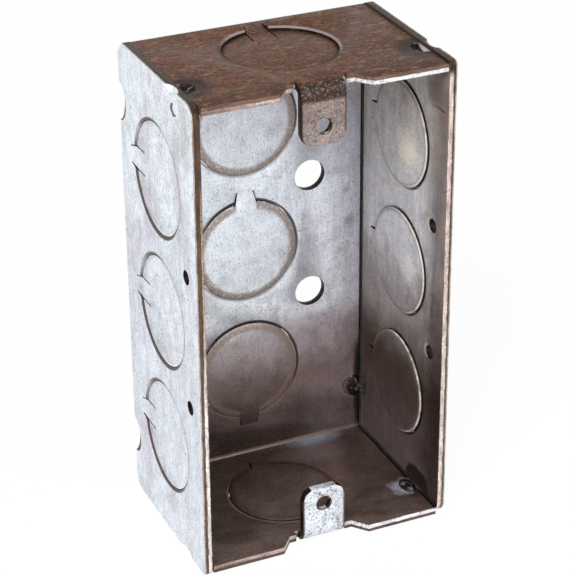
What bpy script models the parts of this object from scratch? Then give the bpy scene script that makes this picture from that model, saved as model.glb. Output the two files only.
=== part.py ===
"""Handy box: a welded steel wiring box with pry-out knockouts.

Three pieces of galvanised sheet. One strip is blanked, lanced and folded into
the two ends, the back and the two ears that carry a switch or socket. Two flat
side plates are welded to the edges of that strip.

Metres, +Z up. The origin is under the middle of the box, on the surface it
stands on. The open front faces -Y and the back faces +Y.
"""

import math

import bmesh
import bpy
from mathutils import Matrix, Vector

MM = 0.001

# Overall box and sheet
HEIGHT = 101.6 * MM
WIDTH = 53.98 * MM
DEPTH = 38.1 * MM
SHEET = 1.588 * MM
SEAM_GAP = 0.3 * MM
END_SET_IN = 0.4 * MM

# Folds of the strip, inside radii
CORNER_FOLD = 0.5 * MM
EAR_FOLD = 1.0 * MM
FOLD_STEPS = 6

# Ears, and the recess in the front edge of each end that they grow from
EAR_WIDTH = 9.2 * MM
EAR_REACH = 12.45 * MM
EAR_SET_BACK = 1.55 * MM
EAR_CORNER_ACROSS = 1.9 * MM
EAR_CORNER_ALONG = 2.4 * MM
EAR_HOLE = 3.5 * MM
EAR_HOLE_FROM_END = 9.13 * MM
RECESS_DEPTH = 3.15 * MM
RECESS_WIDTH = 14.0 * MM
SHOULDER_SPLAY = 2.6 * MM
NOTCH_WIDTH = 0.9 * MM
NOTCH_DEPTH = 1.3 * MM

# Corners of the left side plate. The right one is the same plate turned over.
PLATE_TOP_BACK_CHAMFER = 2.5 * MM
PLATE_TOP_FRONT_RADIUS = 3.0 * MM
PLATE_FOOT_BACK_RADIUS = 3.0 * MM
PLATE_FOOT_FRONT_RADIUS = 1.0 * MM
PLATE_CORNER_STEPS = 6

# Knockouts: a slug sheared round, pushed inwards and held by one tie
SLUG_DIAMETER = 22.5 * MM
SHEAR_GAP = 0.15 * MM
SLUG_PUSH = 0.5 * MM
TOP_SLUG_PUSH = 0.75 * MM
LEFT_SLUG_PUSH = 0.3 * MM
KNOCKOUT_SEGMENTS = 48
HOLE_ROLL_WIDTH = 0.4 * MM
HOLE_ROLL_DEPTH = 0.3 * MM
SLUG_ROLL_WIDTH = 1.3 * MM
SLUG_ROLL_KNEE = 0.45 * MM
SLUG_ROLL_DEPTH = 0.3 * MM
SLUG_ROLL_KNEE_DEPTH = 0.09 * MM
TIE_REACH_OUT = 2.2 * MM
TIE_WIDTH = 5.0 * MM
TIE_WIDTH_OUT = 3.6 * MM
TIE_SLIT = 0.3 * MM
TIE_SCORE_LENGTH = 3.6 * MM
TIE_SCORE_DEPTH = 0.7 * MM

# Places of the knockouts. The back and the foot were punched off the middle.
KNOCKOUT_PITCH = 28.575 * MM
KNOCKOUT_RISE = 0.4 * MM
PUNCH_SHIFT_LEFT = 1.45 * MM
TOP_KNOCKOUT_BACK_SHIFT = 2.2 * MM
FOOT_KNOCKOUT_BACK_SHIFT = 0.1 * MM

# Plain holes
MOUNTING_HOLE = 6.8 * MM
MOUNTING_SPACING_ACROSS = 29.2 * MM
MOUNTING_SPACING_UP = 27.0 * MM
MOUNTING_RISE = 1.2 * MM
SIDE_HOLE = 3.0 * MM
SIDE_HOLE_SPACING = 28.58 * MM
SIDE_HOLE_FROM_FRONT = 5.2 * MM
HOLE_SEGMENTS = 24

# Spot welds along the seams between strip and side plates
WELD_FROM_END = 12.7 * MM
WELD_FROM_FRONT = 9.9 * MM
WELD_DIP_THROUGH = 1.1 * MM
BACK_DIP_LENGTH = 8.4 * MM
BACK_DIP_DEPTH = 3.4 * MM
END_DIP_LENGTH = 5.4 * MM
END_DIP_DEPTH = 1.0 * MM
CRATER_LENGTH = 5.4 * MM
CRATER_REACH = 3.0 * MM
CRATER_DEPTH = 1.1 * MM
NUGGET_LENGTH = 5.2 * MM
NUGGET_WIDTH = 3.2 * MM
NUGGET_HEIGHT = 0.8 * MM
WELD_SEGMENTS = 14
WELD_RINGS = 8

CUT_MARGIN = 1.0 * MM
MERGE = 0.001 * MM
ON_PLANE = 0.002 * MM
FLAT_ANGLE = math.radians(0.05)

# Worked out from the sizes above
STRIP_HALF_WIDTH = WIDTH / 2 - SHEET - SEAM_GAP
CORNER_OUTER = CORNER_FOLD + SHEET
EAR_OUTER = EAR_FOLD + SHEET
BACK_HALF = HEIGHT / 2 - END_SET_IN - CORNER_OUTER
CORNER_LENGTH = (CORNER_FOLD + SHEET / 2) * math.pi / 2
EAR_FOLD_LENGTH = (EAR_FOLD + SHEET / 2) * math.pi / 2
END_START = BACK_HALF + CORNER_LENGTH
END_LENGTH = DEPTH - CORNER_OUTER
EAR_FACE = -DEPTH / 2 + EAR_SET_BACK
EAR_START = END_START + END_LENGTH - EAR_SET_BACK - EAR_OUTER
EAR_FLAT = EAR_REACH - EAR_OUTER
EAR_TIP = EAR_START + EAR_FOLD_LENGTH + EAR_FLAT
SLUG_RADIUS = SLUG_DIAMETER / 2
HOLE_RADIUS = SLUG_RADIUS + SHEAR_GAP
TIE_START = math.sqrt(SLUG_RADIUS**2 - (TIE_WIDTH / 2) ** 2) - TIE_SLIT
TIE_OUT = SLUG_RADIUS + TIE_REACH_OUT
SCORE_START = TIE_START - TIE_SCORE_LENGTH


def clear_scene():
    for item in list(bpy.data.objects):
        bpy.data.objects.remove(item, do_unlink=True)


def new_collection(name):
    group = bpy.data.collections.new(name)
    bpy.context.scene.collection.children.link(group)
    return group


def steel(name, colour, roughness):
    """Galvanised sheet with its own shade for each piece."""
    material = bpy.data.materials.new(name)
    material.use_nodes = True
    surface = material.node_tree.nodes["Principled BSDF"]
    surface.inputs["Base Color"].default_value = (*colour, 1.0)
    surface.inputs["Roughness"].default_value = roughness
    surface.inputs["Metallic"].default_value = 0.9
    material.diffuse_color = (*colour, 1.0)
    return material


def add_object(name, mesh, group):
    item = bpy.data.objects.new(name, mesh)
    group.objects.link(item)
    return item


def add_cutter(name, mesh, place=Matrix()):
    """A tool shape that cuts a piece and is no part of the box."""
    cutter = add_object(name, mesh, CUTTERS)
    cutter.matrix_world = place
    cutter.hide_render = True
    cutter.display_type = "WIRE"
    return cutter


def evaluated_mesh(item, name):
    """The mesh of an object with its modifiers applied."""
    bpy.context.view_layer.update()
    graph = bpy.context.evaluated_depsgraph_get()
    mesh = bpy.data.meshes.new_from_object(item.evaluated_get(graph))
    mesh.name = name
    return mesh


def weld_mesh(mesh):
    """Merge the loose caps of a filled curve, or points that a cut left side by side."""
    work = bmesh.new()
    work.from_mesh(mesh)
    bmesh.ops.remove_doubles(work, verts=work.verts, dist=MERGE)
    bmesh.ops.dissolve_limit(work, angle_limit=FLAT_ANGLE, verts=work.verts, edges=work.edges)
    work.to_mesh(mesh)
    work.free()


def flat_mesh(name, outline, thickness):
    """A flat outline in X and Y with its thickness centred on Z."""
    curve = bpy.data.curves.new(name, "CURVE")
    curve.dimensions = "2D"
    curve.fill_mode = "BOTH"
    curve.extrude = thickness / 2
    spline = curve.splines.new("POLY")
    spline.points.add(len(outline) - 1)
    for point, (x, y) in zip(spline.points, outline):
        point.co = (x, y, 0, 1)
    spline.use_cyclic_u = True
    drawing = add_object(name, curve, CUTTERS)
    mesh = evaluated_mesh(drawing, name)
    weld_mesh(mesh)
    bpy.data.objects.remove(drawing, do_unlink=True)
    return mesh


def cylinder_mesh(name, diameter, length, segments):
    mesh = bpy.data.meshes.new(name)
    work = bmesh.new()
    bmesh.ops.create_cone(
        work,
        cap_ends=True,
        segments=segments,
        radius1=diameter / 2,
        radius2=diameter / 2,
        depth=length,
    )
    work.to_mesh(mesh)
    work.free()
    return mesh


def ellipsoid_mesh(name, size):
    """A round lump or scoop, from its full lengths along X, Y and Z."""
    mesh = bpy.data.meshes.new(name)
    work = bmesh.new()
    bmesh.ops.create_uvsphere(work, u_segments=WELD_SEGMENTS, v_segments=WELD_RINGS, radius=0.5)
    bmesh.ops.scale(work, vec=size, verts=work.verts)
    work.to_mesh(mesh)
    work.free()
    return mesh


def boolean(item, tools, operation):
    """Cut tools out of an object, or join them to it, in one step, and clear them away."""
    group = bpy.data.collections.new("tools")
    CUTTERS.children.link(group)
    for tool in tools:
        CUTTERS.objects.unlink(tool)
        group.objects.link(tool)
    modifier = item.modifiers.new("tools", "BOOLEAN")
    modifier.operation = operation
    modifier.solver = "EXACT"
    modifier.operand_type = "COLLECTION"
    modifier.collection = group
    item.data = evaluated_mesh(item, item.name)
    item.modifiers.clear()
    for tool in tools:
        bpy.data.objects.remove(tool, do_unlink=True)
    bpy.data.collections.remove(group)


def ring_profile():
    """Section of the shear line, down its outer side and up its inner side."""
    face = SHEET / 2
    far = face + CUT_MARGIN
    roll_edge = HOLE_RADIUS + HOLE_ROLL_WIDTH
    slug_edge = SLUG_RADIUS - SLUG_ROLL_WIDTH
    knee = SLUG_RADIUS - SLUG_ROLL_KNEE
    return [
        (roll_edge, far),
        (roll_edge, face),
        (HOLE_RADIUS, face - HOLE_ROLL_DEPTH),
        (HOLE_RADIUS, -far),
        (slug_edge, -far),
        (slug_edge, -face),
        (knee, -face + SLUG_ROLL_KNEE_DEPTH),
        (SLUG_RADIUS, -face + SLUG_ROLL_DEPTH),
        (SLUG_RADIUS, far),
    ]


def tie_half_width(along):
    """Half the width between the two slits, at a distance from the slug's centre."""
    share = max(along - TIE_START, 0) / (TIE_OUT - TIE_START)
    return (TIE_WIDTH + (TIE_WIDTH_OUT - TIE_WIDTH) * share) / 2


def slit_mesh(name, side, start, end, height):
    """A narrow cut beside the tie, which runs along +X, from start to end."""
    near = [(x, side * (tie_half_width(x) - TIE_SLIT / 2)) for x in (start, end)]
    far = [(x, side * (tie_half_width(x) + TIE_SLIT / 2)) for x in (end, start)]
    return flat_mesh(name, near + far, height)


def knockout_cutter_mesh():
    """The shear line round a slug, open at its tie, with the cuts beside the tie.

    Past the slug the cuts are slits through the sheet. On the slug they are
    only scored into its outer face.
    """
    tall = SHEET + 2 * CUT_MARGIN
    profile = ring_profile()
    mesh = bpy.data.meshes.new("shear_line")
    count = len(profile)
    edges = [(i, (i + 1) % count) for i in range(count)]
    mesh.from_pydata([(radius, 0, z) for radius, z in profile], edges, [])
    ring = add_cutter("shear_line", mesh)
    turn = ring.modifiers.new("turn", "SCREW")
    turn.angle = 2 * math.pi
    turn.steps = KNOCKOUT_SEGMENTS
    turn.render_steps = KNOCKOUT_SEGMENTS
    turn.use_merge_vertices = True
    turn.merge_threshold = MERGE
    ring.data = evaluated_mesh(ring, "shear_line")
    ring.modifiers.clear()
    stations = (SCORE_START, TIE_START, TIE_OUT)
    corridor = [(x, tie_half_width(x)) for x in stations]
    corridor += [(x, -tie_half_width(x)) for x in reversed(stations)]
    tie = add_cutter("tie_corridor", flat_mesh("tie_corridor", corridor, tall + 2 * CUT_MARGIN))
    boolean(ring, [tie], "DIFFERENCE")
    score_height = TIE_SCORE_DEPTH + CUT_MARGIN
    score_place = Matrix.Translation((0, 0, (SHEET + CUT_MARGIN - TIE_SCORE_DEPTH) / 2))
    cuts = []
    for side in (1, -1):
        slit = slit_mesh("tie_slit", side, TIE_START, TIE_OUT, tall)
        cuts.append(add_cutter("tie_slit", slit))
        score = slit_mesh("tie_score", side, SCORE_START, TIE_START + TIE_SLIT, score_height)
        cuts.append(add_cutter("tie_score", score, score_place))
    boolean(ring, cuts, "UNION")
    cutter = ring.data
    bpy.data.objects.remove(ring, do_unlink=True)
    return cutter


def knockout_place(x, y, tie_angle):
    """Frame of one knockout on a flat sheet, with +X along its tie."""
    return Matrix.Translation((x, y, 0)) @ Matrix.Rotation(tie_angle, 4, "Z")


def cut_plane(work, point, normal):
    """Add edges where a plane crosses the sheet, so that it can bend there."""
    bmesh.ops.bisect_plane(
        work,
        geom=work.verts[:] + work.edges[:] + work.faces[:],
        dist=ON_PLANE,
        plane_co=point,
        plane_no=normal,
    )


def push_slug(work, place, push):
    """Set one slug inwards, with its tie bent between sheet and slug."""
    along = place.to_3x3() @ Vector((1, 0, 0))
    for reach in (TIE_START, TIE_OUT):
        cut_plane(work, place @ Vector((reach, 0, 0)), along)
    to_place = place.inverted()
    for vert in work.verts:
        spot = to_place @ vert.co
        on_tie = TIE_START < spot.x < TIE_OUT + MERGE and abs(spot.y) < tie_half_width(spot.x)
        if on_tie:
            vert.co.z -= push * (TIE_OUT - spot.x) / (TIE_OUT - TIE_START)
        elif math.hypot(spot.x, spot.y) < SLUG_RADIUS + SHEAR_GAP / 3:
            vert.co.z -= push


def cut_holes(sheet, knockouts, holes):
    """Lance the knockouts and pierce the round holes of a flat sheet."""
    tools = [add_cutter("knockout_cut", KNOCKOUT_CUTTER, place) for place in knockouts]
    for x, y, diameter in holes:
        mesh = cylinder_mesh("hole_cut", diameter, SHEET + 2 * CUT_MARGIN, HOLE_SEGMENTS)
        tools.append(add_cutter("hole_cut", mesh, Matrix.Translation((x, y, 0))))
    boolean(sheet, tools, "DIFFERENCE")


def end_outline():
    """Front edge of one end of the blank, with its ear, from +X to -X."""
    front = END_START + END_LENGTH
    recess = front - RECESS_DEPTH
    notch = recess - NOTCH_DEPTH
    ear = EAR_WIDTH / 2
    half = [
        (STRIP_HALF_WIDTH, front),
        (RECESS_WIDTH / 2 + SHOULDER_SPLAY, front),
        (RECESS_WIDTH / 2, recess),
        (ear + NOTCH_WIDTH, recess),
        (ear + NOTCH_WIDTH, notch),
        (ear, notch),
        (ear, EAR_TIP - EAR_CORNER_ALONG),
        (ear - EAR_CORNER_ACROSS / 3, EAR_TIP - EAR_CORNER_ALONG / 3),
        (ear - EAR_CORNER_ACROSS, EAR_TIP),
    ]
    return half + [(-x, y) for x, y in reversed(half)]


def fold_point(point):
    """Where a point of the flat blank goes when the strip is folded.

    The blank lies in X and Y, with the middle of the back at its centre, its
    lower end towards +Y and the outside of the box on +Z.
    """
    x, run, offset = point
    lower = run > 0
    run = abs(run)
    centre = DEPTH / 2 - CORNER_OUTER
    rise = END_SET_IN + CORNER_OUTER
    radius = CORNER_FOLD + SHEET / 2 + offset
    ear = abs(x) < (EAR_WIDTH + NOTCH_WIDTH) / 2 and run > EAR_START
    if run < BACK_HALF:
        y = centre + radius
        z = HEIGHT / 2 - run
    elif run < END_START:
        angle = (run - BACK_HALF) / CORNER_LENGTH * math.pi / 2
        y = centre + radius * math.cos(angle)
        z = rise - radius * math.sin(angle)
    elif not ear:
        y = centre - (run - END_START)
        z = rise - radius
    else:
        centre = EAR_FACE + EAR_OUTER
        rise = END_SET_IN + EAR_OUTER
        radius = EAR_FOLD + SHEET / 2 + offset
        turned = min((run - EAR_START) / EAR_FOLD_LENGTH, 1)
        angle = turned * math.pi / 2
        y = centre - radius * math.sin(angle)
        z = rise - radius * math.cos(angle)
        z += max(run - EAR_START - EAR_FOLD_LENGTH, 0)
    if not lower:
        z = HEIGHT - z
    return Vector((x, y, z))


def fold_strip(work):
    """Crease the blank at every step of its folds and fold it up."""
    folds = ((BACK_HALF, CORNER_LENGTH), (EAR_START, EAR_FOLD_LENGTH))
    for start, length in folds:
        for step in range(FOLD_STEPS + 1):
            run = start + length * step / FOLD_STEPS
            cut_plane(work, Vector((0, run, 0)), Vector((0, 1, 0)))
            cut_plane(work, Vector((0, -run, 0)), Vector((0, 1, 0)))
    for vert in work.verts:
        vert.co = fold_point(vert.co)


def nugget_places():
    """Middle and long direction of each weld nugget in the strip's inner corners."""
    across = STRIP_HALF_WIDTH - NUGGET_WIDTH / 2
    back = DEPTH / 2 - SHEET
    front = -DEPTH / 2 + WELD_FROM_FRONT
    inner_foot = END_SET_IN + SHEET
    places = []
    for side in (1, -1):
        for z in (WELD_FROM_END, HEIGHT - WELD_FROM_END):
            upright = Matrix.Rotation(math.pi / 2, 4, "X")
            places.append(Matrix.Translation((side * across, back, z)) @ upright)
        for z in (inner_foot, HEIGHT - inner_foot):
            places.append(Matrix.Translation((side * across, front, z)))
    return places


def crater_places():
    """Middle of each crater that the welds left in the outer face of an end."""
    front = -DEPTH / 2 + WELD_FROM_FRONT
    places = []
    for side in (1, -1):
        for z in (END_SET_IN, HEIGHT - END_SET_IN):
            places.append(Matrix.Translation((side * STRIP_HALF_WIDTH, front, z)))
    return places


def make_strip():
    """The ends, the back and the ears: one strip, blanked, lanced and folded."""
    outline = end_outline()
    outline += [(-x, -y) for x, y in outline]
    strip = add_object("folded_strip", flat_mesh("folded_strip", outline, SHEET), PARTS)
    end_run = END_START + DEPTH / 2 - CORNER_OUTER
    left = -PUNCH_SHIFT_LEFT
    up = -math.pi / 2
    down = math.pi / 2
    knockouts = [
        knockout_place(0, TOP_KNOCKOUT_BACK_SHIFT - end_run, down),
        knockout_place(left, -KNOCKOUT_PITCH - KNOCKOUT_RISE, up),
        knockout_place(left, -KNOCKOUT_RISE, up),
        knockout_place(left, KNOCKOUT_PITCH - KNOCKOUT_RISE, down),
        knockout_place(left, end_run - FOOT_KNOCKOUT_BACK_SHIFT, up),
    ]
    holes = []
    hole_flat = EAR_HOLE_FROM_END - END_SET_IN - EAR_OUTER
    for run in (-1, 1):
        holes.append((0, run * (EAR_START + EAR_FOLD_LENGTH + hole_flat), EAR_HOLE))
        for across in (-1, 1):
            x = left + across * MOUNTING_SPACING_ACROSS / 2
            holes.append((x, run * MOUNTING_SPACING_UP / 2 - MOUNTING_RISE, MOUNTING_HOLE))
    cut_holes(strip, knockouts, holes)
    work = bmesh.new()
    work.from_mesh(strip.data)
    for place in knockouts:
        push_slug(work, place, TOP_SLUG_PUSH if place is knockouts[0] else SLUG_PUSH)
    fold_strip(work)
    work.to_mesh(strip.data)
    work.free()
    nugget = ellipsoid_mesh("weld_nugget", (NUGGET_WIDTH, NUGGET_LENGTH, 2 * NUGGET_HEIGHT))
    nuggets = [add_cutter("weld_nugget", nugget, place) for place in nugget_places()]
    boolean(strip, nuggets, "UNION")
    crater = ellipsoid_mesh("weld_crater", (2 * CRATER_REACH, CRATER_LENGTH, 2 * CRATER_DEPTH))
    craters = [add_cutter("weld_crater", crater, place) for place in crater_places()]
    boolean(strip, craters, "DIFFERENCE")
    strip.data.materials.append(steel("folded_strip_steel", (0.42, 0.40, 0.41), 0.42))


def corner_arc(x, y, radius, start, steps):
    """A rounded corner of a plate, or a chamfer where steps is 1."""
    points = []
    for step in range(steps + 1):
        angle = start + math.pi / 2 * step / steps
        points.append((x + radius * math.cos(angle), y + radius * math.sin(angle)))
    return points


def plate_outline():
    """A side plate seen with the front towards -X and the foot towards -Y."""
    front = -DEPTH / 2
    back = DEPTH / 2
    corners = [
        (back, HEIGHT, PLATE_TOP_BACK_CHAMFER, 0, 1),
        (front, HEIGHT, PLATE_TOP_FRONT_RADIUS, 1, PLATE_CORNER_STEPS),
        (front, 0, PLATE_FOOT_FRONT_RADIUS, 2, PLATE_CORNER_STEPS),
        (back, 0, PLATE_FOOT_BACK_RADIUS, 3, PLATE_CORNER_STEPS),
    ]
    points = []
    for x, y, radius, quarter, steps in corners:
        inward_x = -radius if x > 0 else radius
        inward_y = -radius if y > 0 else radius
        points += corner_arc(x + inward_x, y + inward_y, radius, quarter * math.pi / 2, steps)
    return points


def weld_dips():
    """Each scoop that a weld melted in an edge of a side plate, its place and its turn."""
    front = -DEPTH / 2 + WELD_FROM_FRONT
    through = 2 * WELD_DIP_THROUGH
    back_scoop = ellipsoid_mesh("back_dip", (2 * BACK_DIP_DEPTH, BACK_DIP_LENGTH, through))
    end_scoop = ellipsoid_mesh("end_dip", (2 * END_DIP_DEPTH, END_DIP_LENGTH, through))
    return [
        (back_scoop, DEPTH / 2, WELD_FROM_END, 0),
        (back_scoop, DEPTH / 2, HEIGHT - WELD_FROM_END, 0),
        (end_scoop, front, 0, math.pi / 2),
        (end_scoop, front, HEIGHT, math.pi / 2),
    ]


def make_side_plate(name, side, push, material):
    """A flat plate at one side, side -1 on the left and 1 on the right."""
    outline = [(side * x, y if side < 0 else HEIGHT - y) for x, y in plate_outline()]
    plate = add_object(name, flat_mesh(name, outline, SHEET), PARTS)
    to_back = 0 if side > 0 else math.pi
    middle = HEIGHT / 2
    knockouts = [
        knockout_place(0, middle + step * KNOCKOUT_PITCH + KNOCKOUT_RISE, to_back)
        for step in (-1, 0, 1)
    ]
    hole_x = side * (-DEPTH / 2 + SIDE_HOLE_FROM_FRONT)
    holes = [(hole_x, middle + step * SIDE_HOLE_SPACING / 2, SIDE_HOLE) for step in (-1, 1)]
    scoops = []
    for scoop, x, y, turn in weld_dips():
        place = Matrix.Translation((side * x, y, SHEET / 2)) @ Matrix.Rotation(turn, 4, "Z")
        scoops.append(add_cutter("weld_dip", scoop, place))
    boolean(plate, scoops, "DIFFERENCE")
    cut_holes(plate, knockouts, holes)
    work = bmesh.new()
    work.from_mesh(plate.data)
    for place in knockouts:
        push_slug(work, place, push)
    work.to_mesh(plate.data)
    work.free()
    outward = Vector((side, 0, 0))
    up = Vector((0, 0, 1))
    along = up.cross(outward)
    axes = Matrix((along, up, outward)).transposed().to_4x4()
    plate.matrix_world = Matrix.Translation(outward * (WIDTH - SHEET) / 2) @ axes
    plate.data.materials.append(material)


clear_scene()
PARTS = new_collection("handy_box")
CUTTERS = new_collection("cutters")
KNOCKOUT_CUTTER = knockout_cutter_mesh()
make_strip()
LEFT_STEEL = steel("left_plate_steel", (0.72, 0.74, 0.78), 0.38)
RIGHT_STEEL = steel("right_plate_steel", (0.38, 0.36, 0.37), 0.4)
make_side_plate("left_side_plate", -1, LEFT_SLUG_PUSH, LEFT_STEEL)
make_side_plate("right_side_plate", 1, SLUG_PUSH, RIGHT_STEEL)
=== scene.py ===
"""Handy box in galvanised sheet, dressed on its CAD frame and set on a plain floor."""

import math

import bpy
from bpy.props import FloatProperty, FloatVectorProperty, PointerProperty
from bpy.types import Operator, Panel, PropertyGroup
from mathutils import Matrix, Vector


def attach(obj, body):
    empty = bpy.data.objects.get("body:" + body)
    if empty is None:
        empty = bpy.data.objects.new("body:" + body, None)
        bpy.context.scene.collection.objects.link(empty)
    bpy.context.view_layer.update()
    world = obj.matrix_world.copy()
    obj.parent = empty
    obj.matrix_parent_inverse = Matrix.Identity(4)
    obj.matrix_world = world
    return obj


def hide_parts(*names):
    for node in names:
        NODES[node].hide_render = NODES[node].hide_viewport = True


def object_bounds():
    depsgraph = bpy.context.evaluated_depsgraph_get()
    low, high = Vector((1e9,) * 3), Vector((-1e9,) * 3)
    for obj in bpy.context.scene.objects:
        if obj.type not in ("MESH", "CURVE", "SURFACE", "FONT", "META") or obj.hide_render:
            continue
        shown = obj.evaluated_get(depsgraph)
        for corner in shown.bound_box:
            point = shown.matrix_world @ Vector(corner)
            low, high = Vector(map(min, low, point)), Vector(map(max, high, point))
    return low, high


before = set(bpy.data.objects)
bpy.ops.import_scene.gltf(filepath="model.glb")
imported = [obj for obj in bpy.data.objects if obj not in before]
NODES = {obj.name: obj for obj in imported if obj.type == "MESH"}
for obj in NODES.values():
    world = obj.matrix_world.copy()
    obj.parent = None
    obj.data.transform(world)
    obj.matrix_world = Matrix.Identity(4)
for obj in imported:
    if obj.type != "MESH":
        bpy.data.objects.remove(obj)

bl_info = {
    "name": "Handy Box",
    "version": (1, 0, 0),
    "blender": (4, 5, 0),
    "location": "3D View > Sidebar > Handy Box",
    "description": "Dresses a welded steel wiring box and sets it on a plain floor",
    "category": "Object",
}

MM = 0.001
X, Y, Z = 0, 1, 2
CAD_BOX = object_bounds()

# Overall box and sheet
HEIGHT = CAD_BOX[1].z
HALF_WIDTH = CAD_BOX[1].x
HALF_DEPTH = CAD_BOX[1].y
MIDDLE = HEIGHT / 2
SHEET = 1.588 * MM
SEAM_GAP = 0.3 * MM
END_SET_IN = 0.4 * MM
STRIP_HALF_WIDTH = HALF_WIDTH - SHEET - SEAM_GAP
PLATE_INNER = HALF_WIDTH - SHEET
BACK_INNER = HALF_DEPTH - SHEET
END_FACE = HEIGHT - END_SET_IN
FOOT_INNER = END_SET_IN + SHEET

# Knockouts
KNOCKOUT_PITCH = 28.575 * MM
KNOCKOUT_MIDDLE = MIDDLE + 0.4 * MM
PUNCHED_LEFT = -1.45 * MM
TOP_KNOCKOUT_Y = 2.2 * MM
FOOT_KNOCKOUT_Y = 0.1 * MM
SLUG_RADIUS = 11.25 * MM
HOLE_RADIUS = 11.4 * MM
TIE_REACH = 2.2 * MM
TIE_HALF_WIDTH = 2.5 * MM
SLUG_PUSH = 0.5 * MM
LEFT_SLUG_PUSH = 0.3 * MM
TOP_SLUG_PUSH = 0.75 * MM
SHEAR_WALL_REACH = 0.4 * MM
PLATE_HOLE_Y = -12.9 * MM

# Folds and ears
CORNER_FOLD = 0.5 * MM
INNER_CORNER = CORNER_FOLD + SHEET
EAR_FOLD = 1.0 * MM
EAR_OUTER = EAR_FOLD + SHEET
EAR_HALF_WIDTH = 4.6 * MM
EAR_FACE_Y = -17.5 * MM
EAR_INNER_Y = EAR_FACE_Y + SHEET
EAR_HOLE_FROM_END = 9.13 * MM
THREAD_RADIUS = 1.72 * MM
THREAD_RIDGE = 0.24 * MM
THREAD_PITCH = 0.794 * MM
THREAD_SET_IN = 0.3 * MM
THREAD_STEPS = 32

# Welds
WELD_FROM_END = 12.7 * MM
WELD_Y = -HALF_DEPTH + 9.9 * MM
CRATER_LENGTH = 5.4 * MM
CRATER_REACH = 3.0 * MM
BACK_DIP_LENGTH = 8.4 * MM
BACK_DIP_DEPTH = 3.4 * MM
END_DIP_LENGTH = 5.4 * MM
END_DIP_DEPTH = 1.0 * MM
NUGGET_REACH = 4 * MM
NUGGET_RADIUS = 3 * MM

# Tests of where a face lies and which way it looks
ON_SURFACE = 0.02 * MM
ON_SLUG = 0.05 * MM
FLAT = 0.999
NEARLY_FLAT = 0.9
LEANING = 0.6
TURNED = 0.5
STEEP = 0.4
CRATER_SUNK = 0.8 * SHEET
SLUG_CLEARANCE = 1.2 * MM
RIM_ZONE = 3.2 * MM
SMOOTH_ANGLE = math.radians(32)
SHARP_ANGLE = math.radians(40)

# Drawing of the marks on the sheet
RIM_START = 0.1 * MM
DEFAULT_RIM = 0.45 * MM
RIPPLE_PITCH = 0.9 * MM
RIPPLE_TONE = (214, 208, 214)
BUMP_HEIGHT = 0.06 * MM

# Floor, lamps and camera
FLOOR_REACH = 2.0
GLOW_SHARE = 0.93
WHITE = (1.0, 1.0, 1.0, 1.0)
LAMP_TARGET = (0, 0, 0.05)
SENSOR_WIDTH = 36.0


# Small helpers for nodes


def place(tree, kind, inputs=None, **settings):
    """Add a node, choose its options, and set or join its inputs."""
    node = tree.nodes.new(kind)
    for name, value in settings.items():
        setattr(node, name, value)
    join_inputs(tree, node, inputs or {})
    return node


def join_inputs(tree, node, inputs):
    """Join each input to the socket it is given, or set it to the value."""
    for key, value in inputs.items():
        if isinstance(value, bpy.types.NodeSocket):
            tree.links.new(value, node.inputs[key])
        else:
            node.inputs[key].default_value = value


def maths(tree, operation, a, b=0.0, c=0.0, clamp=False):
    inputs = {0: a, 1: b, 2: c}
    return place(tree, "ShaderNodeMath", inputs, operation=operation, use_clamp=clamp).outputs[0]


def plus(tree, a, b):
    return maths(tree, "ADD", a, b)


def minus(tree, a, b):
    return maths(tree, "SUBTRACT", a, b)


def times(tree, *values):
    """Multiply several values."""
    result = values[0]
    for value in values[1:]:
        result = maths(tree, "MULTIPLY", result, value)
    return result


def blend(tree, share, a, b, kind="MIX"):
    """Mix two colours."""
    node = place(
        tree, "ShaderNodeMix", {0: share, 6: a, 7: b}, data_type="RGBA", blend_type=kind
    )
    return node.outputs[2]


def ramp(tree, value, low, high, to_low=0.0, to_high=1.0, soft=True):
    """Turn a range of values into another, smoothly unless soft is off."""
    kind = "SMOOTHSTEP" if soft else "LINEAR"
    inputs = {0: value, 1: low, 2: high, 3: to_low, 4: to_high}
    return place(tree, "ShaderNodeMapRange", inputs, interpolation_type=kind).outputs[0]


def vary(tree, colour, value, amount):
    """Lighten and darken a colour with a noise value."""
    tone = ramp(tree, value, 0.34, 0.66, 1 - amount, 1 + amount, soft=False)
    return blend(tree, 1.0, colour, tone, "MULTIPLY")


def stretched(tree, vector, stretch):
    node = place(tree, "ShaderNodeVectorMath", {0: vector, 1: stretch}, operation="MULTIPLY")
    return node.outputs[0]


def noise(tree, vector, scale, detail=2.0, rough=0.5, warp=0.0):
    inputs = {
        "Vector": vector,
        "Scale": scale,
        "Detail": detail,
        "Roughness": rough,
        "Distortion": warp,
    }
    return place(tree, "ShaderNodeTexNoise", inputs).outputs[0]


def new_group(name, inputs, outputs):
    """A shader node group: an input whose default is a number takes values, others vectors."""
    tree = bpy.data.node_groups.new(name, "ShaderNodeTree")
    for label, default in inputs.items():
        kind = "NodeSocketFloat" if isinstance(default, float) else "NodeSocketVector"
        socket = tree.interface.new_socket(label, in_out="INPUT", socket_type=kind)
        if default is not None:
            socket.default_value = default
    for label in outputs:
        tree.interface.new_socket(label, in_out="OUTPUT", socket_type="NodeSocketFloat")
    start = tree.nodes.new("NodeGroupInput")
    end = tree.nodes.new("NodeGroupOutput")
    return tree, start.outputs, end.inputs


def give_out(tree, out, results):
    """Join a group's results to its outputs."""
    for label, value in results.items():
        tree.links.new(value, out[label])


def use_group(tree, name, inputs):
    """Place a shared group and give its outputs by name."""
    node = tree.nodes.new("ShaderNodeGroup")
    node.node_tree = bpy.data.node_groups[name]
    join_inputs(tree, node, inputs)
    return node.outputs


# Shared effects of the sheet


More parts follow.
